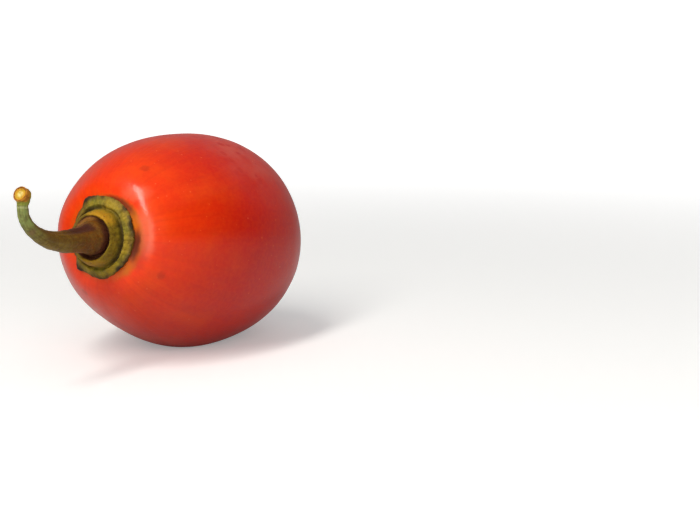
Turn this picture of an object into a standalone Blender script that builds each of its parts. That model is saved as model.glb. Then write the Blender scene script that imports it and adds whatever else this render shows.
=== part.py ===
"""A picked tamarillo: the egg-shaped fruit, the five-lobed calyx on its shoulder
and the bent stalk that broke off the tree with it.

Metres, +Z up. The fruit lies on a small flat spot at z = 0 with its long axis
along X, its stem end towards -X and raised a little. The origin is the middle
of the flat spot.
"""

import math

import bmesh
import bpy
from mathutils import Matrix, Vector

MM = 0.001

# The fruit: an egg turned about its long axis, widest towards the blossom end
FRUIT_LENGTH = 67.7 * MM
FRUIT_DIAMETER = 50.0 * MM
EGG_LEAN = 0.15         # moves the widest place towards the blossom end
EGG_FULLNESS = 0.15     # rounds out both ends
EGG_TWIST = -0.05       # draws the blossom end in again
DIMPLE_DEPTH = 1.6 * MM     # the calyx sits in a shallow dimple
DIMPLE_RADIUS = 10.5 * MM
TIP_LENGTH = 1.1 * MM       # the blossom end is drawn out to a blunt point
TIP_RADIUS = 3.6 * MM
BELLY_RISE = 1.2 * MM       # the underside is a little fuller before mid-length
BELLY_PLACE = -2.0 * MM
BELLY_SPREAD = 12.0 * MM

# How it lies
STEM_RAISED = math.radians(8.0)
FLAT_DEPTH = 0.8 * MM       # how far the flat spot is pressed into the skin

# The calyx: fused sepals in low steps, from the lobed rim up to the stalk's seat
AXIS_DROP = 0.7 * MM        # calyx and stalk sit this far under the fruit's axis
CREST_RADIUS = 4.8 * MM
GROOVE_RADIUS = 6.5 * MM
RIM_RADIUS = 8.2 * MM
RIM_THICKNESS = 0.65 * MM
NARROWING = 0.55 * MM       # the collar is narrower on the -Y side

# The calyx's upper profile, from the middle of its seat over the collar's crest
# and the groove to the rim: along the fruit's axis and radius, in mm. The rim
# itself is laid on the skin.
CALYX_PROFILE = (
    (-34.9, 0.0),
    (-34.9, 4.1),
    (-35.15, 4.4),
    (-36.1, 4.55),
    (-36.4, 4.8),
    (-36.2, 5.1),
    (-35.2, 5.55),
    (-34.3, 5.95),
    (-33.5, 6.1),
    (-32.75, 6.3),
    (-32.75, 6.5),
    (-33.05, 6.85),
    (-32.8, 7.4),
    (0.0, 8.2),
)

# The rim seen from the stem end: angle in degrees from the -Y side upwards, and
# radius in mm. The five dry tips are at 24, 118, 176, -130 and -54 degrees.
RIM_OUTLINE = (
    (-184.0, 7.90),
    (-147.0, 7.85),
    (-130.0, 8.90),
    (-113.0, 8.40),
    (-92.0, 8.65),
    (-72.0, 8.00),
    (-54.0, 7.75),
    (-22.0, 7.65),
    (0.0, 7.80),
    (24.0, 8.05),
    (52.0, 8.45),
    (80.0, 8.75),
    (118.0, 9.35),
    (137.0, 7.95),
    (157.0, 7.35),
    (176.0, 7.90),
)

# The stalk's route from its seat into the knob: along the fruit's axis, aside,
# up, and the radius there, in mm
STALK_ROUTE = (
    (-35.2, 0.00, -0.72, 3.60),
    (-36.4, 0.00, -0.76, 3.55),
    (-37.7, 0.00, -0.87, 3.20),
    (-39.8, -0.03, -1.15, 2.78),
    (-43.3, -0.06, -1.49, 2.45),
    (-47.1, -0.07, -1.69, 2.18),
    (-51.1, -0.06, -1.32, 1.76),
    (-54.2, -0.01, -0.48, 1.48),
    (-56.8, 0.04, 0.80, 1.27),
    (-58.5, 0.10, 2.60, 1.15),
    (-59.05, 0.18, 4.40, 1.12),
    (-59.12, 0.22, 5.10, 1.08),
    (-59.10, 0.28, 5.75, 1.28),
    (-59.15, 0.30, 6.50, 1.34),
    (-59.30, 0.28, 7.10, 1.10),
)

# The knob: a short drum across the stalk's end, with the scar where it broke off
SCAR_CENTRE = Vector((-60.3, 0.15, 7.35)) * MM
SCAR_FACING = Vector((-0.90, -0.20, 0.37)).normalized()
KNOB_RADIUS = 1.5 * MM
KNOB_LENGTH = 1.75 * MM
KNOB_BEVEL = 0.28 * MM

# Pieces that touch keep this gap between their meshes
GAP = 0.3 * MM

# How finely each piece is cut
FRUIT_RINGS = 34
FRUIT_SIDES = 56
CALYX_SIDES = 80
STALK_STEPS = 3
STALK_SIDES_SETTING = 6
KNOB_SIDES = 18
UNDERSIDE_RINGS = 6
MERGE = 0.001 * MM

# Colour and roughness of each piece
SKIN_RED = (0.68, 0.042, 0.012)
SKIN_ROUGHNESS = 0.28
DRY_OLIVE = (0.22, 0.15, 0.035)
CALYX_ROUGHNESS = 0.6
BARK_BROWN = (0.16, 0.105, 0.02)
BARK_ROUGHNESS = 0.55


def clear_scene():
    for thing in list(bpy.data.objects):
        bpy.data.objects.remove(thing, do_unlink=True)


def make_material(name, color, roughness):
    material = bpy.data.materials.new(name)
    material.use_nodes = True
    shader = material.node_tree.nodes["Principled BSDF"]
    shader.inputs["Base Color"].default_value = (*color, 1.0)
    shader.inputs["Roughness"].default_value = roughness
    shader.inputs["Metallic"].default_value = 0.0
    return material


def plain_egg_radius(turn):
    """Radius of the egg, before it is scaled, where turn runs 0 to pi from stem to blossom."""
    along = -math.cos(turn)
    swell = 1.0 + EGG_LEAN * along + EGG_FULLNESS * along ** 2 + EGG_TWIST * along ** 3
    return math.sin(turn) * swell


def widest_plain_radius():
    steps = 2000
    return max(plain_egg_radius(math.pi * step / steps) for step in range(steps + 1))


EGG_SCALE = FRUIT_DIAMETER / 2.0 / widest_plain_radius()


def egg_point(turn):
    """A point of the fruit's profile: its place along the axis and its radius."""
    radius = EGG_SCALE * plain_egg_radius(turn)
    along = -FRUIT_LENGTH / 2.0 * math.cos(turn)
    if turn < math.pi / 2.0:
        along += DIMPLE_DEPTH * math.exp(-(radius / DIMPLE_RADIUS) ** 4)
    else:
        along += TIP_LENGTH * math.exp(-(radius / TIP_RADIUS) ** 2)
    return along, radius


def shoulder_place(radius):
    """Where along the axis the stem end's skin lies at a radius, by halving."""
    low = 0.0
    high = math.pi / 3.0
    for _ in range(40):
        middle = (low + high) / 2.0
        if egg_point(middle)[1] < radius:
            low = middle
        else:
            high = middle
    return egg_point(low)[0]


def add_belly(place):
    """Push a point of the underside out from the fruit's axis."""
    radius = math.hypot(place.y, place.z)
    if radius < MERGE or place.z > 0.0:
        return place
    down = -place.z / radius
    rise = BELLY_RISE * down ** 2 * math.exp(-((place.x - BELLY_PLACE) / BELLY_SPREAD) ** 2)
    grow = 1.0 + rise / radius
    return Vector((place.x, place.y * grow, place.z * grow))


def turn_profile(mesh, profile, sides):
    """Turn a profile, a list of (along, radius), about the X axis into a closed shell."""
    corners = [mesh.verts.new((along, 0.0, radius)) for along, radius in profile]
    lines = [mesh.edges.new(pair) for pair in zip(corners, corners[1:])]
    bmesh.ops.spin(mesh, geom=corners + lines, cent=(0.0, 0.0, 0.0), axis=(1.0, 0.0, 0.0),
                   angle=math.tau, steps=sides, use_merge=True, use_duplicate=False)
    bmesh.ops.remove_doubles(mesh, verts=mesh.verts, dist=MERGE)
    bmesh.ops.recalc_face_normals(mesh, faces=mesh.faces)


def press_flat_spot(mesh, lean):
    """Cut the skin flat where it rests. Returns the middle of the flat spot."""
    lowest = min((lean @ vert.co).z for vert in mesh.verts)
    down = lean.inverted() @ Vector((0.0, 0.0, -1.0))
    on_cut = -down * (lowest + FLAT_DEPTH)
    cut = bmesh.ops.bisect_plane(mesh, geom=mesh.verts[:] + mesh.edges[:] + mesh.faces[:],
                                 plane_co=on_cut, plane_no=down, clear_outer=True)
    rim = [item for item in cut["geom_cut"] if isinstance(item, bmesh.types.BMEdge)]
    flat = bmesh.ops.holes_fill(mesh, edges=rim)["faces"][0]
    return flat.calc_center_median_weighted()


def finish_object(name, mesh, material, root):
    """Store a bmesh as a smooth-shaded object under the root."""
    data = bpy.data.meshes.new(name)
    mesh.to_mesh(data)
    mesh.free()
    data.shade_smooth()
    data.set_sharp_from_angle(angle=math.radians(35.0))
    data.materials.append(material)
    piece = bpy.data.objects.new(name, data)
    bpy.context.collection.objects.link(piece)
    piece.parent = root
    return piece


def make_root():
    """The empty that holds the fruit's own frame: its axis lies along the empty's X."""
    root = bpy.data.objects.new("lying_frame", None)
    bpy.context.collection.objects.link(root)
    return root


def make_fruit(root, lean):
    """The fruit in one closed skin. Returns the middle of its flat spot."""
    mesh = bmesh.new()
    turns = [math.pi * ring / FRUIT_RINGS for ring in range(FRUIT_RINGS + 1)]
    turn_profile(mesh, [egg_point(turn) for turn in turns], FRUIT_SIDES)
    for vert in mesh.verts:
        vert.co = add_belly(vert.co)
    resting_point = press_flat_spot(mesh, lean)
    skin = make_material("skin", SKIN_RED, SKIN_ROUGHNESS)
    finish_object("fruit", mesh, skin, root)
    return resting_point


def rim_radius(angle):
    """The rim's radius at an angle in radians, eased between the outline's points."""
    degrees = math.degrees(angle)
    for (start, from_radius), (end, to_radius) in zip(RIM_OUTLINE, RIM_OUTLINE[1:]):
        if start <= degrees <= end:
            share = (degrees - start) / (end - start)
            ease = (1.0 - math.cos(math.pi * share)) / 2.0
            return (from_radius + (to_radius - from_radius) * ease) * MM
    return RIM_OUTLINE[-1][1] * MM


def narrowed(radius, angle):
    """Draw the calyx's radius in between crest and rim, on the -Y side alone."""
    near = max(0.0, math.cos(angle)) ** 2
    between = min(1.0, max(0.0, (radius - CREST_RADIUS) / (RIM_RADIUS - CREST_RADIUS)))
    return radius - NARROWING * near * math.sin(math.pi * between)


def make_calyx(root):
    """The calyx: a lobed saucer that hugs the shoulder, with a collar and a seat."""
    top = [(along * MM, radius * MM) for along, radius in CALYX_PROFILE]
    underside = [(MM, RIM_RADIUS * ring / UNDERSIDE_RINGS) for ring in range(UNDERSIDE_RINGS, -1, -1)]
    mesh = bmesh.new()
    turn_profile(mesh, top + underside, CALYX_SIDES)
    for vert in mesh.verts:
        radius = math.hypot(vert.co.y, vert.co.z)
        angle = math.atan2(vert.co.z, -vert.co.y)
        new_radius = narrowed(radius, angle)
        if radius > GROOVE_RADIUS:
            share = (radius - GROOVE_RADIUS) / (RIM_RADIUS - GROOVE_RADIUS)
            new_radius += share * (rim_radius(angle) - RIM_RADIUS)
        if radius > MERGE:
            vert.co.y *= new_radius / radius
            vert.co.z *= new_radius / radius
        vert.co.z -= AXIS_DROP
        skin = shoulder_place(math.hypot(vert.co.y, vert.co.z))
        if vert.co.x > MM / 2.0:
            vert.co.x = skin - GAP
        elif radius > RIM_RADIUS - MERGE:
            vert.co.x = skin - GAP - RIM_THICKNESS
    bmesh.ops.recalc_face_normals(mesh, faces=mesh.faces)
    finish_object("calyx", mesh, make_material("calyx_skin", DRY_OLIVE, CALYX_ROUGHNESS), root)


def make_route_tube():
    """The stalk's tapering tube, as a mesh of its own."""
    route = bpy.data.curves.new("stalk_route", "CURVE")
    route.dimensions = "3D"
    route.resolution_u = STALK_STEPS
    route.render_resolution_u = STALK_STEPS
    route.bevel_depth = MM
    route.bevel_resolution = STALK_SIDES_SETTING
    route.use_fill_caps = True
    line = route.splines.new("BEZIER")
    line.radius_interpolation = "CARDINAL"
    line.bezier_points.add(len(STALK_ROUTE) - 1)
    for point, (along, aside, up, radius) in zip(line.bezier_points, STALK_ROUTE):
        point.co = (along * MM, aside * MM, up * MM)
        point.radius = radius
        point.handle_left_type = "AUTO"
        point.handle_right_type = "AUTO"
    drawn = bpy.data.objects.new("stalk_route", route)
    bpy.context.collection.objects.link(drawn)
    seen = drawn.evaluated_get(bpy.context.evaluated_depsgraph_get())
    mesh = bmesh.new()
    mesh.from_mesh(seen.to_mesh())
    seen.to_mesh_clear()
    bpy.data.objects.remove(drawn, do_unlink=True)
    bmesh.ops.remove_doubles(mesh, verts=mesh.verts, dist=MERGE)
    bmesh.ops.recalc_face_normals(mesh, faces=mesh.faces)
    return mesh


def make_knob():
    """The knob's drum, with bevelled rims and its scar at the outer end."""
    middle = SCAR_CENTRE - SCAR_FACING * KNOB_LENGTH / 2.0
    place = Matrix.Translation(middle) @ SCAR_FACING.to_track_quat("Z", "Y").to_matrix().to_4x4()
    mesh = bmesh.new()
    bmesh.ops.create_cone(mesh, cap_ends=True, segments=KNOB_SIDES, radius1=KNOB_RADIUS,
                          radius2=KNOB_RADIUS, depth=KNOB_LENGTH, matrix=place)
    rims = [edge for edge in mesh.edges if any(len(face.verts) > 4 for face in edge.link_faces)]
    bmesh.ops.bevel(mesh, geom=rims, offset=KNOB_BEVEL, segments=2, profile=0.5, affect="EDGES")
    return mesh


def make_stalk(root):
    """The stalk: a tapering tube, flared in its seat, that ends in the knob."""
    bark = make_material("stalk_bark", BARK_BROWN, BARK_ROUGHNESS)
    stalk = finish_object("stalk", make_route_tube(), bark, root)
    knob = finish_object("stalk_knob", make_knob(), bark, root)
    knob.hide_render = True
    knob.display_type = "WIRE"
    fuse = stalk.modifiers.new("fuse_knob", "BOOLEAN")
    fuse.operation = "UNION"
    fuse.solver = "EXACT"
    fuse.object = knob


def build():
    clear_scene()
    root = make_root()
    lean = Matrix.Rotation(STEM_RAISED, 4, "Y")
    resting_point = make_fruit(root, lean)
    make_calyx(root)
    make_stalk(root)
    root.rotation_euler = (0.0, STEM_RAISED, 0.0)
    root.location = -(lean @ resting_point)


build()
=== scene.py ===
# %% [markdown]
# A picked tamarillo lies on its side: a waxy red-orange fruit, the dry calyx on
# its shoulder, and the bent stalk that broke off with it. The imported model is
# the fixed frame, so it is loaded first and its box is kept, to be printed at
# the end. Each of its three plain solids is then replaced by a finer piece.

# %% Load the frame
import math
import bpy
from mathutils import Matrix, Vector
from mathutils.kdtree import KDTree


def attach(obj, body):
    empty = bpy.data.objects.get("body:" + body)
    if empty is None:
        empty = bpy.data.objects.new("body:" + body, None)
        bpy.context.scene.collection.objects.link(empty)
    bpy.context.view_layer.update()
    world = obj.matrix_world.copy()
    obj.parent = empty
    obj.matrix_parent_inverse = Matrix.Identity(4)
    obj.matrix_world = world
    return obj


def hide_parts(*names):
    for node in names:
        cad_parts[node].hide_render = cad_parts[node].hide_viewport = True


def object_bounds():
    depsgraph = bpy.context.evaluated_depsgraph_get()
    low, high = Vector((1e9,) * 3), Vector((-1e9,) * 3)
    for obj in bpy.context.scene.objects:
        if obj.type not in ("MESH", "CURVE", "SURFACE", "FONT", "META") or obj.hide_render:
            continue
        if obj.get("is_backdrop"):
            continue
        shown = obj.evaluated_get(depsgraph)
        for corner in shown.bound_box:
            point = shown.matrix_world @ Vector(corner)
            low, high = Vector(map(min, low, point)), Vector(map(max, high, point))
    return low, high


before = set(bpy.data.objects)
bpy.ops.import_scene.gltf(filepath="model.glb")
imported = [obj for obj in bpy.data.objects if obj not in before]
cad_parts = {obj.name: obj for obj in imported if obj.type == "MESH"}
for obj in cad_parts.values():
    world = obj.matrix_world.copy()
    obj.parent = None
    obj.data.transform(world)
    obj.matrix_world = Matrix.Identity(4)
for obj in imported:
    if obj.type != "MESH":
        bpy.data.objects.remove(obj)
frame_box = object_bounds()
print("frame box in mm:", [[round(v * 1000, 1) for v in corner] for corner in frame_box])

# %% [markdown]
# Every piece is modelled in the fruit's own frame, where the long axis is X, the
# stem end is at -X and the middle of the fruit is the origin. That makes the egg
# a turned shape. Lying down is then one small turn and one shift, the same for
# all three pieces, and it is applied to the mesh.

# %% The fruit's own frame
MM = 0.001
STEM_RAISED = math.radians(8.0)
MIDDLE = Vector((-5.687, 0.0, 25.65)) * MM
LIE = Matrix.Translation(MIDDLE) @ Matrix.Rotation(STEM_RAISED, 4, "Y")


def take(piece):
    """Select one piece and nothing else."""
    bpy.ops.object.select_all(action="DESELECT")
    piece.select_set(True)
    bpy.context.view_layer.objects.active = piece


def lay_down(piece):
    """Put a piece that was modelled in the fruit's own frame where the fruit lies."""
    piece.data.transform(LIE)
    piece.data.update()


def count_triangles(piece):
    piece.data.calc_loop_triangles()
    return len(piece.data.loop_triangles)


def smooth(piece, angle=math.radians(60.0)):
    take(piece)
    bpy.ops.object.shade_smooth_by_angle(angle=angle)


# %% [markdown]
# Fruit and calyx start as turned shapes. A plane is merged to a single point,
# the point is extruded along the profile like a drawn line, and the line is spun
# about the long axis. The doubled points at the poles are merged afterwards.

# %% A lathe
SAME_POINT = 0.002 * MM


def lathe(name, profile, steps):
    """Turn a profile, a list of (along, radius), about X into a closed mesh."""
    bpy.ops.object.select_all(action="DESELECT")
    first_along, first_radius = profile[0]
    bpy.ops.mesh.primitive_plane_add(size=MM)
    piece = bpy.context.object
    piece.name = name
    bpy.ops.object.mode_set(mode="EDIT")
    bpy.ops.mesh.select_all(action="SELECT")
    bpy.ops.mesh.merge(type="CENTER")
    bpy.ops.transform.translate(value=(first_along, 0.0, first_radius))
    for (along, radius), (next_along, next_radius) in zip(profile, profile[1:]):
        step = (next_along - along, 0.0, next_radius - radius)
        bpy.ops.mesh.extrude_region_move(TRANSFORM_OT_translate={"value": step})
    bpy.ops.mesh.select_all(action="SELECT")
    bpy.ops.mesh.spin(steps=steps, angle=math.tau, center=(0, 0, 0), axis=(1, 0, 0))
    bpy.ops.mesh.select_all(action="SELECT")
    bpy.ops.mesh.remove_doubles(threshold=SAME_POINT)
    bpy.ops.mesh.normals_make_consistent(inside=False)
    bpy.ops.object.mode_set(mode="OBJECT")
    return piece


# %% [markdown]
# Nothing that grew is even. A displace modifier with a soft cloud texture pushes
# a surface in and out by fractions of a millimetre, and is applied. Large clouds
# give dents and swellings, small ones give wrinkles.

# %% Relief

def apply_modifier(piece, kind, **settings):
    modifier = piece.modifiers.new(kind.lower(), kind)
    for name, value in settings.items():
        setattr(modifier, name, value)
    take(piece)
    bpy.ops.object.modifier_apply(modifier=modifier.name)


def roughen(piece, size, strength):
    """Push the surface in and out by a cloud texture of the given size."""
    clouds = bpy.data.textures.new(piece.name + "_clouds", "CLOUDS")
    clouds.noise_scale = size
    apply_modifier(piece, "DISPLACE", texture=clouds, texture_coords="LOCAL",
                   strength=strength, mid_level=0.5)


# %% [markdown]
# The fruit is an egg that is widest towards its blossom end. A formula gives its
# profile, the same one as the plain solid has, so the fine skin lies where the
# solid is. The shoulder is sunk where the calyx sits and swells in a low ring
# round it, which catches the window light. The blossom end is drawn out to a
# blunt point with the small pit that the flower's style left.

# %% The egg's profile
FRUIT_LENGTH = 67.7 * MM
FRUIT_DIAMETER = 50.0 * MM
EGG_LEAN = 0.15
EGG_FULLNESS = 0.15
EGG_TWIST = -0.05
DIMPLE_DEPTH = 1.6 * MM
DIMPLE_RADIUS = 10.5 * MM
TIP_LENGTH = 1.1 * MM
TIP_RADIUS = 3.6 * MM
SWELL_HEIGHT = 0.5 * MM
SWELL_RADIUS = 12.0 * MM
SWELL_WIDTH = 2.8 * MM
PIT_DEPTH = 0.45 * MM
PIT_RADIUS = 0.75 * MM
PIT_RIM_RADIUS = 1.25 * MM
PIT_RIM_HEIGHT = 0.16 * MM


def bump_at(value, centre, width):
    """A smooth bump that is 1 at the centre and falls off over the width."""
    return math.exp(-((value - centre) / width) ** 2)


def plain_radius(turn):
    along = -math.cos(turn)
    swell = 1.0 + EGG_LEAN * along + EGG_FULLNESS * along ** 2 + EGG_TWIST * along ** 3
    return math.sin(turn) * swell


EGG_SAMPLES = 2000
widest = max(plain_radius(math.pi * step / EGG_SAMPLES) for step in range(EGG_SAMPLES + 1))
EGG_SCALE = FRUIT_DIAMETER / 2.0 / widest


def egg_point(turn):
    """A point of the profile, where turn runs from 0 at the stem to pi at the blossom."""
    radius = EGG_SCALE * plain_radius(turn)
    along = -FRUIT_LENGTH / 2.0 * math.cos(turn)
    if turn < math.pi / 2.0:
        along += DIMPLE_DEPTH * math.exp(-(radius / DIMPLE_RADIUS) ** 4)
        along -= SWELL_HEIGHT * bump_at(radius, SWELL_RADIUS, SWELL_WIDTH)
    else:
        along += TIP_LENGTH * bump_at(radius, 0.0, TIP_RADIUS)
        along -= PIT_DEPTH * bump_at(radius, 0.0, PIT_RADIUS)
        along += PIT_RIM_HEIGHT * bump_at(radius, PIT_RIM_RADIUS, PIT_RADIUS / 2.0)
    return along, radius


# %% Turn the egg
FRUIT_RINGS = 150
FRUIT_SIDES = 200
PIT_RINGS = 14
PIT_TURN = 0.075

turns = [math.pi * ring / FRUIT_RINGS for ring in range(FRUIT_RINGS + 1)]
turns = [turn for turn in turns if turn < math.pi - PIT_TURN]
turns += [math.pi - PIT_TURN * (1.0 - ring / PIT_RINGS) for ring in range(PIT_RINGS + 1)]
fruit = lathe("fruit_skin", [egg_point(turn) for turn in turns], FRUIT_SIDES)
print("egg turned:", len(fruit.data.vertices), "points")

# %% [markdown]
# No fruit is turned on a lathe. The underside is a little fuller, the shoulder
# has five faint swellings that continue the calyx's lobes, and the blossom end
# puckers round its pit. Formulas move the points, and the cloud relief does the
# rest. The flat spot that it rests on is cut last, once it lies in place.

# %% The uneven skin
BELLY_RISE = 1.2 * MM
BELLY_PLACE = -2.0 * MM
BELLY_SPREAD = 12.0 * MM
LOBES = 5
LOBE_TURN = 2.0
SHOULDER_WAVE = 0.16 * MM
SHOULDER_REACH = 14.0 * MM
SHOULDER_WIDTH = 4.0 * MM
PUCKERS = 11
PUCKER_DEPTH = 0.05 * MM
PUCKER_REACH = 2.4 * MM
PUCKER_WIDTH = 1.2 * MM
DENT_SIZE = 24.0 * MM
DENT_HEIGHT = 0.5 * MM


def shape_fruit(piece):
    for vert in piece.data.vertices:
        radius = math.hypot(vert.co.y, vert.co.z)
        if radius < 0.01 * MM:
            continue
        angle = math.atan2(vert.co.z, -vert.co.y)
        rise = 0.0
        if vert.co.z < 0.0:
            down = -vert.co.z / radius
            rise += BELLY_RISE * down ** 2 * bump_at(vert.co.x, BELLY_PLACE, BELLY_SPREAD)
        if vert.co.x < 0.0:
            near = bump_at(radius, SHOULDER_REACH, SHOULDER_WIDTH)
            rise += SHOULDER_WAVE * near * math.cos(LOBES * angle - LOBE_TURN)
        else:
            pucker = PUCKER_DEPTH * bump_at(radius, PUCKER_REACH, PUCKER_WIDTH)
            vert.co.x += pucker * math.cos(PUCKERS * angle)
        grow = 1.0 + rise / radius
        vert.co.y *= grow
        vert.co.z *= grow


shape_fruit(fruit)
roughen(fruit, DENT_SIZE, DENT_HEIGHT)
lay_down(fruit)
take(fruit)
bpy.ops.object.mode_set(mode="EDIT")
bpy.ops.mesh.select_all(action="SELECT")
bpy.ops.mesh.bisect(plane_co=(0, 0, 0), plane_no=(0, 0, 1), use_fill=True,
                    clear_inner=True, threshold=0.001 * MM)
bpy.ops.object.mode_set(mode="OBJECT")
smooth(fruit)
print("fruit:", count_triangles(fruit), "triangles, lowest point",
      round(min(vert.co.z for vert in fruit.data.vertices) / MM, 3), "mm")

# %% [markdown]
# The calyx is what is left of the flower: five fused sepals that dried to a
# leathery saucer. From the rim inwards come a dark groove, a raised collar and
# the seat that the stalk grows out of. Its upper profile is a short list of
# points, read as a smooth line, and it is turned as one closed shell.

# %% The calyx's profile
AXIS_DROP = 0.7 * MM
CREST_RADIUS = 4.8 * MM
GROOVE_RADIUS = 6.5 * MM
RIM_RADIUS = 8.2 * MM
RIM_THICKNESS = 0.75 * MM
CALYX_GAP = 0.12 * MM
CALYX_SIDES = 300
PROFILE_STEPS = 4
UNDER_RINGS = 14
UNDER_MARK = 5.0 * MM
EDGE_MARKS = ((0.0, 0.0), (1.0, 0.12), (2.0, 0.10))

# Along the axis and radius, in mm, from the middle of the seat to the rim
CALYX_PROFILE = (
    (-34.9, 0.0), (-34.9, 2.6), (-35.0, 3.9), (-35.6, 4.35), (-36.2, 4.6),
    (-36.42, 4.9), (-36.25, 5.2), (-35.6, 5.5), (-34.7, 5.75), (-33.95, 5.95),
    (-33.4, 6.08), (-32.95, 6.15), (-32.6, 6.3), (-32.52, 6.5), (-32.7, 6.7),
    (-32.96, 6.95), (-32.98, 7.2), (-32.8, 7.5), (-32.55, 7.85), (-32.25, 8.1),
)


def smooth_line(points, steps):
    """Points on a smooth curve through the given ones, several to each stretch."""
    line = []
    for index in range(len(points) - 1):
        before = points[max(index - 1, 0)]
        start = points[index]
        end = points[index + 1]
        after = points[min(index + 2, len(points) - 1)]
        for step in range(steps):
            t = step / steps
            line.append(tuple(
                0.5 * (2.0 * b + (c - a) * t + (2.0 * a - 5.0 * b + 4.0 * c - d) * t ** 2
                       + (3.0 * b - a - 3.0 * c + d) * t ** 3)
                for a, b, c, d in zip(before, start, end, after)))
    line.append(points[-1])
    return line


upper = [(along * MM, max(radius, 0.0) * MM)
         for along, radius in smooth_line(CALYX_PROFILE, PROFILE_STEPS)]
edge = [(mark * MM, RIM_RADIUS + out * MM) for mark, out in EDGE_MARKS]
under = [(UNDER_MARK, RIM_RADIUS * ring / UNDER_RINGS) for ring in range(UNDER_RINGS, -1, -1)]
calyx = lathe("calyx_sepals", upper + edge + under, CALYX_SIDES)
print("calyx turned:", len(calyx.data.vertices), "points")

# %% [markdown]
# The rim isn't round. It has five blunt tips that dried dark and curl up a
# little, with torn edges between them. The points outside the groove are moved
# to that outline and laid on the shoulder, and one side of the seat is filled,
# where the stalk's foot has grown over it. An attribute keeps each point's turned
# radius, how far out it is and how near a tip, so that the finish can darken the
# groove, the edge and the tips wherever they go.

# %% The rim's outline
# Angle in degrees from the -Y side upwards, and radius in mm
RIM_OUTLINE = (
    (-184.0, 8.00), (-147.0, 7.85), (-130.0, 8.90), (-113.0, 8.40),
    (-92.0, 8.65), (-72.0, 8.00), (-54.0, 7.70), (-22.0, 7.35),
    (0.0, 7.50), (24.0, 7.80), (52.0, 8.30), (80.0, 8.70),
    (118.0, 9.35), (139.0, 8.10), (157.0, 7.75), (176.0, 8.00),
)
TIP_ANGLES = (24.0, 118.0, 176.0, -130.0, -54.0)
TIP_WIDTH = 0.15
TIP_CURL = 0.4 * MM
TEARS = ((13, 1.0, 0.05), (31, 2.2, 0.04), (57, 0.4, 0.03))
HALVINGS = 40


def rim_radius(angle):
    """The rim's radius at an angle, eased between the outline's points, with its tears."""
    degrees = math.degrees(angle)
    torn = sum(depth * math.sin(count * angle + turn) for count, turn, depth in TEARS)
    for (start, from_radius), (end, to_radius) in zip(RIM_OUTLINE, RIM_OUTLINE[1:]):
        if start <= degrees <= end:
            ease = (1.0 - math.cos(math.pi * (degrees - start) / (end - start))) / 2.0
            return (from_radius + (to_radius - from_radius) * ease + torn) * MM
    return (RIM_OUTLINE[-1][1] + torn) * MM


def nearest_tip(angle):
    """How far an angle is from the nearest dry tip, in radians."""
    return min(abs(math.remainder(angle - math.radians(tip), math.tau)) for tip in TIP_ANGLES)


def shoulder_place(radius):
    """Where along the axis the stem end's skin lies at a radius, by halving."""
    low = 0.0
    high = math.pi / 3.0
    for _ in range(HALVINGS):
        middle = (low + high) / 2.0
        if egg_point(middle)[1] < radius:
            low = middle
        else:
            high = middle
    return egg_point(low)[0]


# %% Shape the calyx
NARROWING = 0.85 * MM
SEAT_FILL_SIDE = math.radians(150.0)
SEAT_FILL_PLACE = -36.05 * MM
COLLAR_SLUMP = 0.8 * MM
SEPAL_WAVE = 0.14 * MM
RIBS = ((41, 0.3, 0.035), (67, 1.7, 0.025))
EDGE_LIFTS = {0: RIM_THICKNESS - 0.05 * MM, 1: 0.5 * MM, 2: 0.2 * MM}
CALYX_CLOUDS = ((5.0, 0.35), (1.5, 0.26), (0.6, 0.09))
SLUMP_RADIUS = 5.0 * MM
SEPAL_RADIUS = 7.2 * MM
WAVE_WIDTH = 0.9 * MM
SETTLE_FROM = 6.9 * MM
SETTLE_OVER = 1.2 * MM


def narrowed(radius, angle):
    """Draw the radius in between crest and rim, on the near side alone."""
    near = max(0.0, math.cos(angle)) ** 2
    between = min(1.0, max(0.0, (radius - CREST_RADIUS) / (RIM_RADIUS - CREST_RADIUS)))
    return radius - NARROWING * near * math.sin(math.pi * between)


def top_place(place, radius, angle, skin, lift):
    """Where along the axis a point of the calyx's upper side goes."""
    if radius < CREST_RADIUS and place > SEAT_FILL_PLACE:
        fill = min(1.0, max(0.0, 1.6 * math.cos(angle - SEAT_FILL_SIDE)))
        return place + (SEAT_FILL_PLACE - place) * fill
    slump = COLLAR_SLUMP * max(0.0, -math.cos(angle)) ** 2
    place += slump * bump_at(radius, SLUMP_RADIUS, WAVE_WIDTH)
    settle = min(1.0, max(0.0, (radius - SETTLE_FROM) / SETTLE_OVER))
    place += (skin - RIM_THICKNESS - lift - place) * settle
    sepal = math.cos(LOBES * (angle - math.radians(TIP_ANGLES[0])))
    place -= SEPAL_WAVE * sepal * bump_at(radius, SEPAL_RADIUS, WAVE_WIDTH)
    ribs = sum(depth * math.sin(count * angle + turn) for count, turn, depth in RIBS)
    return place - ribs * MM * min(1.0, radius / GROOVE_RADIUS) ** 4


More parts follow.
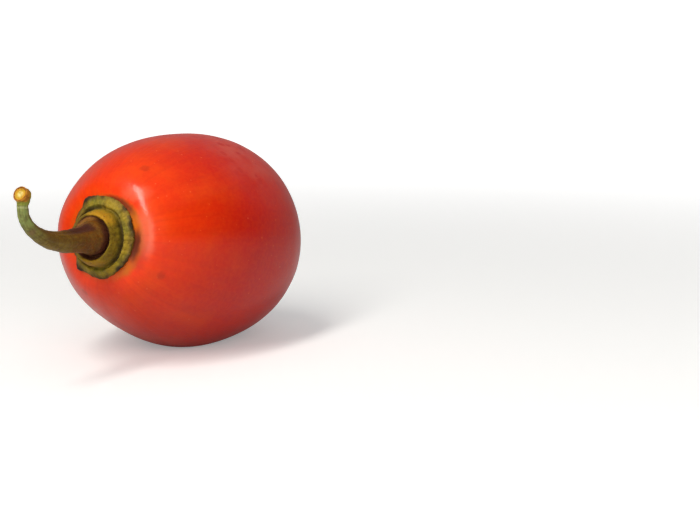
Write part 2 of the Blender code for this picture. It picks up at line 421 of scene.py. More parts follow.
def shape_calyx(piece):
    way = piece.data.attributes.new("calyx_way", "FLOAT_VECTOR", "POINT")
    for vert in piece.data.vertices:
        mark = round(vert.co.x / MM)
        radius = math.hypot(vert.co.y, vert.co.z)
        angle = math.atan2(vert.co.z, -vert.co.y)
        out = max(0.0, (radius - GROOVE_RADIUS) / (RIM_RADIUS - GROOVE_RADIUS))
        new_radius = narrowed(radius, angle) + out * (rim_radius(angle) - RIM_RADIUS)
        if radius > 0.01 * MM:
            vert.co.y *= new_radius / radius
            vert.co.z *= new_radius / radius
        vert.co.z -= AXIS_DROP
        skin = shoulder_place(math.hypot(vert.co.y, vert.co.z)) - CALYX_GAP
        tip = bump_at(nearest_tip(angle), 0.0, TIP_WIDTH)
        lift = TIP_CURL * tip * out ** 3
        if mark >= 4:
            vert.co.x = skin - lift * 0.8
        elif mark >= 0:
            vert.co.x = skin - EDGE_LIFTS[mark] - lift
        else:
            vert.co.x = top_place(vert.co.x, radius, angle, skin, lift)
        way.data[vert.index].vector = (radius / MM, out, tip * min(1.0, out) ** 2)


shape_calyx(calyx)
for cloud_size, cloud_height in CALYX_CLOUDS:
    roughen(calyx, cloud_size * MM, cloud_height * MM)
lay_down(calyx)
smooth(calyx)
print("calyx:", count_triangles(calyx), "triangles")

# %% [markdown]
# The stalk leaves the seat as a flared foot, runs out along the fruit's axis and
# bends up to the joint where it broke off the tree. A bevelled curve follows
# such a route well, since each of its points has its own radius.

# %% The stalk's route
# Along the fruit's axis, aside, up, and the radius there, in mm
STALK_ROUTE = (
    (-35.0, 0.00, -0.72, 3.75), (-36.4, 0.00, -0.76, 3.62), (-37.7, 0.00, -0.87, 3.20),
    (-39.8, -0.03, -1.15, 2.78), (-43.3, -0.06, -1.49, 2.45), (-47.1, -0.07, -1.69, 2.18),
    (-51.1, -0.06, -1.32, 1.76), (-54.2, -0.01, -0.48, 1.48), (-56.8, 0.04, 0.80, 1.27),
    (-58.5, 0.22, 2.60, 1.13), (-59.05, 0.36, 4.40, 1.09), (-59.12, 0.40, 5.10, 1.06),
    (-59.1, 0.36, 5.75, 1.26), (-59.15, 0.30, 6.50, 1.34), (-59.3, 0.28, 7.10, 1.10),
)
bpy.ops.object.select_all(action="DESELECT")
bpy.ops.curve.primitive_bezier_curve_add()
route = bpy.context.object
line = route.data.splines[0]
line.bezier_points.add(len(STALK_ROUTE) - len(line.bezier_points))
line.radius_interpolation = "CARDINAL"
for point, (along, aside, up, radius) in zip(line.bezier_points, STALK_ROUTE):
    point.co = (along * MM, aside * MM, up * MM)
    point.radius = radius
    point.handle_left_type = "AUTO"
    point.handle_right_type = "AUTO"
route.data.resolution_u = 10
route.data.bevel_depth = MM
route.data.bevel_resolution = 14
route.data.use_fill_caps = True
bpy.ops.object.convert(target="MESH")
stalk = bpy.context.object
stalk.name = "stalk_bark"
print("stalk's tube:", len(stalk.data.vertices), "points")

# %% [markdown]
# At its end is the knuckle that tore out of the branch: a short fat drum that
# lies across the stalk, with its broken face outwards. It is a cylinder whose
# rims are bevelled. Tube and drum are joined and remeshed together, which fuses
# them and leaves one even skin of small faces, fine enough for the details.

# %% The knob
SCAR_CENTRE = Vector((-60.3, 0.28, 7.28)) * MM
SCAR_FACING = Vector((-0.955, 0.0, 0.297)).normalized()
KNOB_RADIUS = 1.62 * MM
KNOB_LENGTH = 1.75 * MM
KNOB_BEVEL = 0.2 * MM
VOXEL = 0.1 * MM

bpy.ops.object.select_all(action="DESELECT")
bpy.ops.mesh.primitive_cylinder_add(
    vertices=40, radius=KNOB_RADIUS, depth=KNOB_LENGTH,
    location=SCAR_CENTRE - SCAR_FACING * KNOB_LENGTH / 2.0,
    rotation=SCAR_FACING.to_track_quat("Z", "Y").to_euler())
knob = bpy.context.object
bpy.ops.object.transform_apply(location=True, rotation=True, scale=True)
bpy.ops.object.mode_set(mode="EDIT")
bpy.ops.mesh.select_all(action="SELECT")
bpy.ops.mesh.bevel(offset=KNOB_BEVEL, segments=4)
bpy.ops.object.mode_set(mode="OBJECT")
take(stalk)
knob.select_set(True)
bpy.ops.object.join()
apply_modifier(stalk, "REMESH", mode="VOXEL", voxel_size=VOXEL)
apply_modifier(stalk, "SMOOTH", factor=0.5, iterations=5)
print("stalk and knob fused:", len(stalk.data.vertices), "points")

# %% [markdown]
# Each point of the stalk is now told where it is on the route: how far along,
# and on which side, counted from the near side over the top. Furrows, the fold
# above the foot and the scar's face are formulas on that place, and the finish
# reads the same place from an attribute, so its streaks follow the bend.

# %% Furrows, fold and scar
ROUTE_STEPS = 24
FURROWS = ((5, 0.6, 0.045), (9, 2.1, 0.03), (14, 4.0, 0.02))
FOLD_SIDE = math.radians(64.0)
FOLD_WIDTH = 0.24
FOLD_DEPTH = 0.28 * MM
FOLD_MIDDLE = 6.5 * MM
FOLD_REACH = 4.2 * MM
SCAR_RADIUS = 1.2 * MM
SCAR_DEPTH = 0.16 * MM
SCAR_EDGE = 0.07 * MM
TRACE_RADIUS = 0.45 * MM
TRACE_WIDTH = 0.14 * MM
TRACE_HEIGHT = 0.07 * MM
BARK_CLOUDS = ((2.6, 0.24), (0.8, 0.09))

route_line = [Vector(point[:3]) * MM for point in smooth_line(STALK_ROUTE, ROUTE_STEPS)]
tree = KDTree(len(route_line))
for index, point in enumerate(route_line):
    tree.insert(point, index)
tree.balance()
travelled = [0.0]
for before, after in zip(route_line, route_line[1:]):
    travelled.append(travelled[-1] + (after - before).length)
print("stalk's length along its route:", round(travelled[-1] / MM, 1), "mm")


def route_place(point):
    """How far along the stalk a point is, its outward direction and its side as an angle."""
    index = tree.find(point)[1]
    after = route_line[min(index + 1, len(route_line) - 1)]
    before = route_line[max(index - 1, 0)]
    ahead = (after - before).normalized()
    outward = point - route_line[index]
    outward -= ahead * outward.dot(ahead)
    inner_side = Vector((0.0, 1.0, 0.0)).cross(ahead).normalized()
    return travelled[index], outward.normalized(), math.atan2(outward.dot(inner_side), -outward.y)


def shape_stalk(piece):
    way = piece.data.attributes.new("stalk_way", "FLOAT_VECTOR", "POINT")
    end = piece.data.attributes.new("scar_way", "FLOAT_VECTOR", "POINT")
    for vert in piece.data.vertices:
        along, outward, side = route_place(vert.co)
        from_scar = vert.co - SCAR_CENTRE
        height = from_scar.dot(SCAR_FACING)
        across = (from_scar - SCAR_FACING * height).length
        on_knob = min(1.0, max(0.0, (height + 1.6 * MM) / (0.6 * MM))) * (across < 2.2 * MM)
        furrows = sum(depth * math.sin(count * side + turn) for count, turn, depth in FURROWS)
        fold = bump_at(side, FOLD_SIDE, FOLD_WIDTH) * bump_at(along, FOLD_MIDDLE, FOLD_REACH)
        vert.co += outward * (furrows * MM - FOLD_DEPTH * fold) * (1.0 - on_knob)
        if height > -0.3 * MM and across < SCAR_RADIUS * 1.5:
            sunk = SCAR_DEPTH / (1.0 + math.exp((across - SCAR_RADIUS) / SCAR_EDGE))
            trace = TRACE_HEIGHT * bump_at(across, TRACE_RADIUS, TRACE_WIDTH)
            vert.co -= SCAR_FACING * (sunk - trace)
        way.data[vert.index].vector = (along / MM, math.cos(side), math.sin(side))
        end.data[vert.index].vector = (height / MM, across / MM, on_knob)


shape_stalk(stalk)
for cloud_size, cloud_height in BARK_CLOUDS:
    roughen(stalk, cloud_size * MM, cloud_height * MM)
lay_down(stalk)
smooth(stalk)
print("stalk:", count_triangles(stalk), "triangles")
# %% [markdown]
# The finishes are node materials, with no image. A few short helpers add and
# connect nodes, so that a finish reads from top to bottom like a list of paints:
# a first coat, then one colour after another through a mask.

# %% Node helpers

def paint(red, green, blue):
    """A colour as it looks on a screen, 0 to 255, turned into light for a shader."""
    light = []
    for value in (red, green, blue):
        share = value / 255.0
        light.append(share / 12.92 if share <= 0.04045 else ((share + 0.055) / 1.055) ** 2.4)
    return (*light, 1.0)


def feed(socket, source):
    """Connect an output to a socket, or set the socket to a plain value."""
    if isinstance(source, bpy.types.NodeSocket):
        socket.id_data.links.new(source, socket)
    else:
        socket.default_value = source


def add_node(tree, kind, **settings):
    made = tree.nodes.new(kind)
    for name, value in settings.items():
        setattr(made, name, value)
    return made


def count(tree, operation, *sources):
    """A Math node on masks and plain numbers."""
    made = add_node(tree, "ShaderNodeMath", operation=operation)
    for socket, source in zip(made.inputs, sources):
        feed(socket, source)
    return made.outputs["Value"]


def point_count(tree, operation, *sources, output="Vector"):
    """A Vector Math node on places and directions."""
    made = add_node(tree, "ShaderNodeVectorMath", operation=operation)
    for socket, source in zip(made.inputs, sources):
        feed(socket, source)
    return made.outputs[output]


def scaled(place, factor):
    """A place times one number."""
    result = point_count(place.id_data, "SCALE", place)
    feed(result.node.inputs["Scale"], factor)
    return result


def split(place):
    """The three parts of a place, each as a number."""
    made = add_node(place.id_data, "ShaderNodeSeparateXYZ")
    feed(made.inputs["Vector"], place)
    return made.outputs["X"], made.outputs["Y"], made.outputs["Z"]


def stored(tree, name):
    """An attribute that the shaping of a piece left on its points."""
    return add_node(tree, "ShaderNodeAttribute", attribute_name=name).outputs["Vector"]


# %% Masks and layers

def rise(value, low, high):
    """0 at low, 1 at high and a soft step between them. Low may be the larger one."""
    made = add_node(value.id_data, "ShaderNodeMapRange", interpolation_type="SMOOTHSTEP")
    feed(made.inputs["Value"], value)
    feed(made.inputs["From Min"], low)
    feed(made.inputs["From Max"], high)
    return made.outputs["Result"]


def both(first, second):
    """Where one mask and the other are."""
    return count(first.id_data, "MULTIPLY", first, second)


def weigh(*parts):
    """The sum of masks, each times its weight."""
    tree = parts[0][0].id_data
    total = 0.0
    for mask, weight in parts:
        total = count(tree, "MULTIPLY_ADD", mask, weight, total)
    return total


def coats(color, *layers):
    """Lay colours over a first one, each as (colour, mask) or (colour, mask, share)."""
    tree = layers[0][1].id_data
    for coat, mask, *share in layers:
        made = add_node(tree, "ShaderNodeMix", data_type="RGBA")
        feed(made.inputs[0], both(mask, share[0]) if share else mask)
        feed(made.inputs[6], color)
        feed(made.inputs[7], coat)
        color = made.outputs[2]
    return color


def facing(direction, degrees, low, high):
    """A mask of the side that faces an angle from the -Y side upwards."""
    angle = math.radians(degrees)
    aim = (0.0, -math.cos(angle), math.sin(angle))
    towards = point_count(direction.id_data, "DOT_PRODUCT", direction, aim, output="Value")
    return rise(towards, low, high)


def new_group(name, inputs):
    """An empty shader node group with named inputs and one output, its mask."""
    group = bpy.data.node_groups.new(name, "ShaderNodeTree")
    for label, kind, value in inputs:
        socket = group.interface.new_socket(label, in_out="INPUT", socket_type="NodeSocket" + kind)
        socket.default_value = value
    group.interface.new_socket("Mask", in_out="OUTPUT", socket_type="NodeSocketFloat")
    given = group.nodes.new("NodeGroupInput").outputs
    result = group.nodes.new("NodeGroupOutput").inputs
    return group, given, result


def use(tree, group, **values):
    """Place a group in a material with its own values, and return its mask."""
    made = add_node(tree, "ShaderNodeGroup", node_tree=group)
    for name, value in values.items():
        feed(made.inputs[name.replace("_", " ").title()], value)
    return made.outputs["Mask"]


# %% [markdown]
# Skin, calyx and stalk share five effects. Each is a node group that takes a
# place on the fruit in millimetres and gives a mask: cloudy mottles, small
# flecks, fibres that run lengthwise, one soft patch, and a ring about the calyx.
# Four of them start from a noise.

# %% Mottles and flecks
ORIGIN = (0.0, 0.0, 0.0)


def noise_at(tree, place, scale, detail=2.0):
    """The outputs of a Noise Texture: Fac is a number, Color three of them."""
    made = add_node(tree, "ShaderNodeTexNoise")
    feed(made.inputs["Vector"], place)
    feed(made.inputs["Scale"], scale)
    feed(made.inputs["Detail"], detail)
    return made.outputs


mottles, given, result = new_group("mottles", [
    ("Place", "Vector", ORIGIN),
    ("Size", "Float", 2.0),
    ("Low", "Float", 0.4),
    ("High", "Float", 0.6)])
noise = noise_at(mottles, given["Place"], count(mottles, "DIVIDE", 1.0, given["Size"]), 3.0)
feed(result["Mask"], rise(noise["Fac"], given["Low"], given["High"]))

flecks, given, result = new_group("flecks", [
    ("Place", "Vector", ORIGIN),
    ("Spacing", "Float", 2.0),
    ("Size", "Float", 0.3),
    ("Share", "Float", 0.5)])
cells = add_node(flecks, "ShaderNodeTexVoronoi", feature="F1")
feed(cells.inputs["Vector"], given["Place"])
feed(cells.inputs["Scale"], count(flecks, "DIVIDE", 1.0, given["Spacing"]))
distance = count(flecks, "MULTIPLY", cells.outputs["Distance"], given["Spacing"])
chance = add_node(flecks, "ShaderNodeSeparateColor")
feed(chance.inputs["Color"], cells.outputs["Color"])
size = both(given["Size"], count(flecks, "ADD", chance.outputs["Green"], 0.4))
dot = rise(distance, size, both(size, 0.35))
chosen = count(flecks, "LESS_THAN", chance.outputs["Red"], given["Share"])
feed(result["Mask"], both(dot, chosen))
print("groups:", mottles.name, flecks.name)

# %% Fibres, patches and rings
fibres, given, result = new_group("fibres", [
    ("Around", "Vector", ORIGIN),
    ("Lengthwise", "Float", 0.0),
    ("Fineness", "Float", 8.0),
    ("Stretch", "Float", 0.1),
    ("Low", "Float", 0.4),
    ("High", "Float", 0.65)])
fine = scaled(given["Around"], given["Fineness"])
run = add_node(fibres, "ShaderNodeCombineXYZ")
feed(run.inputs["X"], both(given["Lengthwise"], given["Stretch"]))
noise = noise_at(fibres, point_count(fibres, "ADD", fine, run.outputs["Vector"]), 1.0, 3.0)
feed(result["Mask"], rise(noise["Fac"], given["Low"], given["High"]))

patch, given, result = new_group("patch", [
    ("Place", "Vector", ORIGIN),
    ("Centre", "Vector", ORIGIN),
    ("Reach", "Vector", (1.0, 1.0, 1.0)),
    ("Ragged", "Float", 0.5)])
noise = noise_at(patch, given["Place"], 0.9, 3.0)
shift = point_count(patch, "SUBTRACT", noise["Color"], (0.5, 0.5, 0.5))
moved = point_count(patch, "ADD", given["Place"], scaled(shift, given["Ragged"]))
from_centre = point_count(patch, "SUBTRACT", moved, given["Centre"])
offset = point_count(patch, "DIVIDE", from_centre, given["Reach"])
far = point_count(patch, "LENGTH", offset, output="Value")
feed(result["Mask"], rise(far, 1.25, 0.45))

ring, given, result = new_group("ring", [
    ("Place", "Vector", ORIGIN),
    ("From Axis", "Float", 0.0),
    ("Radius", "Float", 6.0),
    ("Width", "Float", 0.5),
    ("Ragged", "Float", 0.3)])
noise = noise_at(ring, given["Place"], 0.6)
wobble = both(count(ring, "SUBTRACT", noise["Fac"], 0.5), given["Ragged"])
off = count(ring, "SUBTRACT", count(ring, "ADD", given["From Axis"], wobble), given["Radius"])
off = count(ring, "DIVIDE", count(ring, "ABSOLUTE", off), given["Width"])
feed(result["Mask"], rise(off, 1.3, 0.3))
print("groups:", fibres.name, patch.name, ring.name)

# %% [markdown]
# A finish first works out where on the fruit it is. A Mapping node of the
# texture kind undoes the lying-down turn and shift, so the place comes out in
# millimetres in the fruit's own frame, with X along the fruit.

# %% The place on the fruit

def new_finish(name):
    finish = bpy.data.materials.new(name)
    finish.use_nodes = True
    return finish, finish.node_tree, finish.node_tree.nodes["Principled BSDF"]


def own_place(tree):
    """The place in the fruit's own frame in mm: whole, along, up, from the axis, and around."""
    mapping = add_node(tree, "ShaderNodeMapping", vector_type="TEXTURE")
    feed(mapping.inputs["Vector"], add_node(tree, "ShaderNodeTexCoord").outputs["Object"])
    feed(mapping.inputs["Location"], MIDDLE)
    feed(mapping.inputs["Rotation"], (0.0, STEM_RAISED, 0.0))
    feed(mapping.inputs["Scale"], (MM, MM, MM))
    place = mapping.outputs["Vector"]
    along, aside, height = split(place)
    across = point_count(tree, "MULTIPLY_ADD", place, (0.0, 1.0, 1.0), (0.0, 0.0, AXIS_DROP / MM))
    from_axis = point_count(tree, "LENGTH", across, output="Value")
    around = point_count(tree, "NORMALIZE", across)
    return place, along, height, from_axis, around


def cloudy(place, size, low, high):
    """A mask of cloudy mottles."""
    return use(place.id_data, mottles, place=place, size=size, low=low, high=high)


def ring_at(from_axis, place, radius, width, ragged):
    """A mask of one ring about the axis."""
    return use(place.id_data, ring, place=place, from_axis=from_axis,
               radius=radius, width=width, ragged=ragged)


def spot_at(place, centre, reach, ragged):
    """A mask of one soft patch."""
    return use(place.id_data, patch, place=place, centre=centre, reach=reach, ragged=ragged)


def add_relief(shader, *parts):
    """Fine relief from masks, each with its height in mm."""
    bump = add_node(shader.id_data, "ShaderNodeBump")
    bump.inputs["Distance"].default_value = MM
    feed(bump.inputs["Height"], weigh(*parts))
    feed(shader.inputs["Normal"], bump.outputs["Normal"])


# %% [markdown]
# The skin is a thin waxy hide over flesh. It goes from orange-red at the
# shoulder to deep red at the blossom end, with faint darker streaks along it
# and fine pale pores. These ground colours are laid first, the widest ones
# before the finest.

# %% The skin's ground colours
SHOULDER_RED = paint(234, 54, 2)
BLOSSOM_RED = paint(204, 16, 1)
WARM_ORANGE = paint(246, 88, 3)
STREAK_RED = paint(176, 24, 10)
PORE_ORANGE = paint(255, 132, 78)


def skin_ground(tree, place, along, around):
    """The ground colour, with the masks of its grain, narrow streaks and pores."""
    stem_half = rise(along, 4.0, -20.0)
    warm = cloudy(place, size=15.0, low=0.45, high=0.7)
    broad = use(tree, fibres, around=around, lengthwise=along, fineness=7.0, stretch=0.03)
    narrow = use(tree, fibres, around=around, lengthwise=along, fineness=22.0, stretch=0.06)
    grain = cloudy(place, size=0.8, low=0.35, high=0.65)
    shade = cloudy(place, size=1.8, low=0.45, high=0.68)
    pores = use(tree, flecks, place=place, spacing=1.5, size=0.22, share=0.45)
    color = coats(
        SHOULDER_RED,
        (BLOSSOM_RED, rise(along, -33.0, -4.0)),
        (WARM_ORANGE, both(warm, stem_half), 0.35),
        (STREAK_RED, broad, 0.10),
        (STREAK_RED, narrow, 0.10),
        (WARM_ORANGE, grain, 0.12),
        (STREAK_RED, shade, 0.08),
        (PORE_ORANGE, pores, 0.30))
    return color, grain, narrow, pores


# %% [markdown]
# The calyx has marked the skin about it with a yellow-orange ring, strongest on
# the near side. Against the rim on the near side, and in an arc above it, the
# skin is dark brown: partly a stain, partly painted shade of the rim. Further out
# lie a pale pink ring and a patch above the calyx, a painted sheen where the
# swelling round the calyx would catch the window. Each is a ring about the axis,
# cut short by a side or a patch. A few small dark spots lie further off.

# %% Marks about the calyx
HALO_ORANGE = paint(196, 100, 2)
# brown for stains and the pit, also used for painted shade against the calyx's rim
STAIN_AND_SHADE_BROWN = paint(92, 36, 14)
SPOT_RED = paint(140, 30, 14)
# pale pink for a painted sheen, not a colour of the skin
PAINTED_SHEEN_PINK = paint(236, 142, 108)
SPOT_PLACES = (
    (-25.7, -5.7, 14.8), (-27.4, -12.1, -7.8), (-27.9, 6.2, -12.5),
    (6.0, 14.0, 17.0), (-14.0, 22.0, -3.0),
)


def calyx_marks(color, place, along, from_axis, around):
    """The colour with marks, painted rim shade and painted sheen, and the stain-and-shade mask."""
    near_stem = rise(along, -8.0, -24.0)
    halo = ring_at(from_axis, place, radius=8.4, width=1.35, ragged=1.2)
    patchy = cloudy(place, size=3.6, low=0.3, high=0.75)
    golden = weigh((facing(around, -8.0, 0.1, 0.75), 0.65), (patchy, 0.45))
    # partly painted shade: dark brown against the rim on the near side, partly a stain
    stain_and_rim_shade = ring_at(from_axis, place, radius=7.9, width=1.15, ragged=1.0)
    stain_and_rim_shade = both(both(stain_and_rim_shade, facing(around, -9.0, 0.86, 0.995)), near_stem)
    # partly painted shade: a dark brown arc against the rim above, partly a stain
    upper_stain_and_rim_shade = ring_at(from_axis, place, radius=8.5, width=1.0, ragged=0.8)
    upper_right = spot_at(place, (-31.0, -3.6, 7.2), (4.0, 5.2, 3.8), 1.0)
    spots = [spot_at(place, centre, (1.1, 1.1, 1.1), 0.9) for centre in SPOT_PLACES]
    # painted sheen: a pale pink ring where the swelling round the calyx catches the window
    painted_sheen_ring = ring_at(from_axis, place, radius=10.3, width=1.6, ragged=1.0)
    near_side = spot_at(place, (-29.5, -10.4, 1.5), (6.0, 4.0, 6.0), 0.5)
    color = coats(
        color,
        (HALO_ORANGE, both(both(halo, near_stem), golden), 0.95),
        (SPOT_RED, spot_at(place, (-30.6, -8.2, -2.6), (3.5, 2.4, 4.6), 1.6), 0.4),
        (STAIN_AND_SHADE_BROWN, stain_and_rim_shade, 0.95),
        (STAIN_AND_SHADE_BROWN, both(upper_stain_and_rim_shade, upper_right), 0.8),
        *((SPOT_RED, spot, 0.32) for spot in spots),
        # painted sheen in pale pink: the ring on the near side and a patch above the calyx
        (PAINTED_SHEEN_PINK, both(painted_sheen_ring, near_side), 0.3),
        (PAINTED_SHEEN_PINK, spot_at(place, (-29.3, -6.4, 9.2), (6.0, 3.4, 1.9), 1.5), 0.2))
    return color, stain_and_rim_shade


# %% [markdown]
# A dull bloom with red specks covers the upper side of the blossom half. Its
# pale pink is partly the wax and partly a painted sheen of the light from above,
# which is why it keeps to the upper side. The blossom end is darker, with a brown
# pit. The gloss is two coats: a wide soft one, and a thin clear one that the
# bloom takes down.

# %% Bloom and blossom end
# pale pink of the wax bloom, which also stands for a painted sheen
BLOOM_AND_SHEEN_PINK = paint(206, 112, 98)
SPECK_RED = paint(190, 22, 12)


def blossom_marks(tree, color, place, along, height):
    """The colour with the bloom and its painted sheen, and the masks of bloom, specks and pit."""
    # partly painted sheen: the bloom's pale pink keeps to the upper side alone
    upward = both(rise(height, 6.0, 19.0), rise(along, -15.0, 0.0))
    bloom_and_sheen = both(upward, cloudy(place, size=5.0, low=0.25, high=0.75))
    specks = use(tree, flecks, place=place, spacing=2.5, size=1.15, share=0.7)
    pit = spot_at(place, (34.9, 0.0, 0.0), (1.4, 1.1, 1.1), 0.3)
    color = coats(
        color,
        (BLOOM_AND_SHEEN_PINK, bloom_and_sheen, 0.4),
        (SPECK_RED, both(upward, specks), 0.7),
        (STREAK_RED, spot_at(place, (35.0, 0.0, 0.0), (3.0, 5.5, 5.5), 1.5), 0.55),
        (STAIN_AND_SHADE_BROWN, pit, 0.95))
    return color, bloom_and_sheen, specks, pit


# %% Skin finish

def make_skin():
    finish, tree, shader = new_finish("waxy_skin")
    place, along, height, from_axis, around = own_place(tree)
    color, grain, streaks, pores = skin_ground(tree, place, along, around)
    color, stain_and_rim_shade = calyx_marks(color, place, along, from_axis, around)
    color, bloom_and_sheen, specks, pit = blossom_marks(tree, color, place, along, height)
    feed(shader.inputs["Base Color"], color)
    dull = weigh((grain, 0.05), (bloom_and_sheen, 0.14), (stain_and_rim_shade, 0.25), (pit, 0.3))
    feed(shader.inputs["Roughness"], count(tree, "ADD", dull, 0.42))
    feed(shader.inputs["Coat Weight"], count(tree, "SUBTRACT", 0.44, both(bloom_and_sheen, 0.22)))
    shader.inputs["Coat Roughness"].default_value = 0.17
    shader.inputs["Specular IOR Level"].default_value = 0.12
    shader.inputs["Subsurface Weight"].default_value = 0.12
    shader.inputs["Subsurface Radius"].default_value = (1.0, 0.25, 0.1)
    shader.inputs["Subsurface Scale"].default_value = 1.6 * MM
    add_relief(shader, (grain, 0.01), (streaks, -0.012), (pores, -0.008), (specks, -0.01))
    return finish


# %% [markdown]
# The calyx is dry, dull and leathery: olive over ochre, with radial fibres and
# dark mould specks. The torn edge and the tips have gone nearly black, and the
# seat is a dark purple brown. The groove is painted brown as painted shade, less
# on its upper and lower sides, the collar's crest carries a painted highlight in
# ochre on those sides, and the crease round the seat is a thin line of painted
# shade. The stored turned radius says which of these parts a point belongs to.

# %% The calyx's ground colours
OLIVE = paint(152, 126, 24)
MOSS_GREEN = paint(106, 110, 28)
STRAW = paint(178, 148, 50)
DARK_FIBRE = paint(76, 54, 16)
COLLAR_OLIVE = paint(128, 108, 20)


def calyx_ground(tree, place, from_middle, from_axis, around):
    """The ground colour, with the masks of its blotches, wear and ribs."""
    moss = cloudy(place, size=4.0, low=0.42, high=0.6)
    wear = cloudy(place, size=0.7, low=0.35, high=0.7)
    blotches = cloudy(place, size=2.0, low=0.42, high=0.62)
    ribs = use(tree, fibres, around=around, lengthwise=from_axis,
               fineness=7.0, stretch=0.5, low=0.4, high=0.7)
    color = coats(
        OLIVE,
        (MOSS_GREEN, moss, 0.7),
        (STRAW, wear, 0.35),
        (DARK_FIBRE, blotches, 0.36),
        (DARK_FIBRE, ribs, 0.32),
        (COLLAR_OLIVE, rise(from_middle, 6.5, 6.1), 0.85),
        (DARK_FIBRE, both(blotches, rise(from_middle, 6.3, 5.9)), 0.3))
    return color, blotches, wear, ribs


# %% Painted crest highlight and groove shade
# ochre for a painted highlight on the crest
CREST_HIGHLIGHT_OCHRE = paint(182, 132, 22)
FAR_BROWN = paint(96, 62, 18)
# brown for painted shade in the groove
GROOVE_SHADE_BROWN = paint(48, 34, 16)


def crest_highlight_and_groove_shade(color, place, from_middle, around):
    """A painted highlight in ochre on the crest, and painted shade in brown in the groove."""
    topside = facing(around, 70.0, 0.72, 1.0)
    underside = facing(around, -88.0, 0.8, 1.0)
    crest = ring_at(from_middle, place, radius=5.2, width=0.9, ragged=0.9)
    # painted highlight: strongest on the crest's upper side, weaker on its lower side
    lit = weigh((topside, 0.9), (underside, 0.6), (1.0, 0.08))
    groove = ring_at(from_middle, place, radius=6.4, width=0.45, ragged=0.4)
    # painted shade: the groove is brown except on its upper and lower sides
    shaded_side = weigh((topside, -0.6), (underside, -0.6), (1.0, 1.0))
    return coats(
        color,
        (CREST_HIGHLIGHT_OCHRE, both(crest, lit)),
        (FAR_BROWN, facing(around, 180.0, 0.3, 0.8), 0.5),
        (GROOVE_SHADE_BROWN, both(groove, shaded_side), 0.85))


# %% Edge, tips and seat
EDGE_BROWN = paint(70, 48, 26)
TIP_BLACK = paint(40, 30, 20)
# dark purple brown of the seat, also used for painted shade in creases and the recess
SEAT_AND_SHADE_PURPLE = paint(78, 38, 26)
FOOT_OCHRE = paint(138, 90, 30)


def make_calyx_skin():
    finish, tree, shader = new_finish("dry_calyx")
    place, _, _, from_axis, around = own_place(tree)
    from_middle, out, tips = split(stored(tree, "calyx_way"))
    color, blotches, wear, ribs = calyx_ground(tree, place, from_middle, from_axis, around)
    color = crest_highlight_and_groove_shade(color, place, from_middle, around)
    dried = weigh((blotches, 0.5), (wear, 0.3), (1.0, 0.35))
    mould = use(tree, flecks, place=place, spacing=0.9, size=0.24, share=0.45)
    seat = coats(SEAT_AND_SHADE_PURPLE, (FOOT_OCHRE, facing(around, 150.0, 0.1, 0.6)))
    # painted shade: a thin dark purple line in the crease where the foot meets the seat
    crease = ring_at(from_middle, place, radius=4.5, width=0.22, ragged=0.3)
    color = coats(
        color,
        (EDGE_BROWN, both(rise(out, 0.6, 1.0), dried), 0.9),
        (TIP_BLACK, rise(tips, 0.25, 0.8), 0.85),
        (EDGE_BROWN, mould, 0.6),
        (seat, rise(from_middle, 4.75, 4.4), 0.95),
        (SEAT_AND_SHADE_PURPLE, crease, 0.7))
    feed(shader.inputs["Base Color"], color)
    feed(shader.inputs["Roughness"], weigh((wear, 0.12), (ribs, 0.1), (1.0, 0.52)))
    shader.inputs["Specular IOR Level"].default_value = 0.25
    add_relief(shader, (ribs, -0.1), (wear, 0.08), (blotches, 0.07), (mould, -0.04))
    return finish


# %% [markdown]
# The stalk is green wood under a thin bark: brown at the foot, olive along the
# bend and sage green near the end. The outer side of the bend is painted paler
# and greener as painted light, and the inner side olive as painted shade. All of
# it reads the stored places, so that streaks follow the bend.

# %% The bark's ground colours
FOOT_BROWN = paint(114, 64, 4)
BARK_OLIVE = paint(112, 76, 8)
# sage green for the lit side, olive for the shaded side, pale for the bend's lit side and wear
LIT_SAGE_GREEN = paint(142, 158, 90)
SHADED_OLIVE = paint(118, 104, 34)
PALE_WEAR_AND_LIGHT = paint(160, 142, 64)
BARK_BROWN = paint(74, 46, 14)


def bark_ground(tree, place, way):
    """The ground colour with painted light and shade by side, and the masks of its fine streaks,
    streaks, blotches and wear.
    """
    along, _, inner = split(way)
    around = point_count(tree, "MULTIPLY", way, (0.0, 1.0, 1.0))
    upper_part = rise(along, 17.0, 25.0)
    bend = both(rise(along, 6.0, 14.0), rise(along, 25.0, 21.0))
    blotches = cloudy(place, size=1.2, low=0.42, high=0.6)
    streaks = use(tree, fibres, around=around, lengthwise=along,
                  fineness=4.0, stretch=0.12, low=0.42, high=0.62)
    fine_streaks = use(tree, fibres, around=around, lengthwise=along, fineness=10.0, stretch=0.2)
    wear = cloudy(place, size=0.5, low=0.35, high=0.7)
    color = coats(
        FOOT_BROWN,
        (BARK_OLIVE, rise(along, 4.0, 12.0)),
        # painted shade and light: olive on the inner side, sage green and pale on the outer side
        (SHADED_OLIVE, upper_part, 0.7),
        (LIT_SAGE_GREEN, both(upper_part, rise(inner, 0.8, -0.1)), 0.9),
        (PALE_WEAR_AND_LIGHT, both(bend, rise(inner, 0.45, -0.75)), 0.4),
        (BARK_BROWN, blotches, 0.42),
        (BARK_BROWN, streaks, 0.22),
        (BARK_BROWN, fine_streaks, 0.12),
        (PALE_WEAR_AND_LIGHT, wear, 0.16))
    return color, fine_streaks, streaks, blotches, wear


# %% [markdown]
# The fold above the foot and the recess between foot and seat are painted dark
# purple as painted shade, the recess on its side away from the light alone, and
# the foot is painted darker where it goes into the seat. There is also a small
# bruise on the bend. They lie where the shapes put them: the fold by its side and
# length on the stalk, the recess by its distance from the fruit's axis.

# %% Painted shade in fold and recess, and the bruise
# dark purple for painted shade in the fold
FOLD_SHADE_PURPLE = paint(62, 24, 22)
BRUISE_BROWN = paint(124, 92, 60)


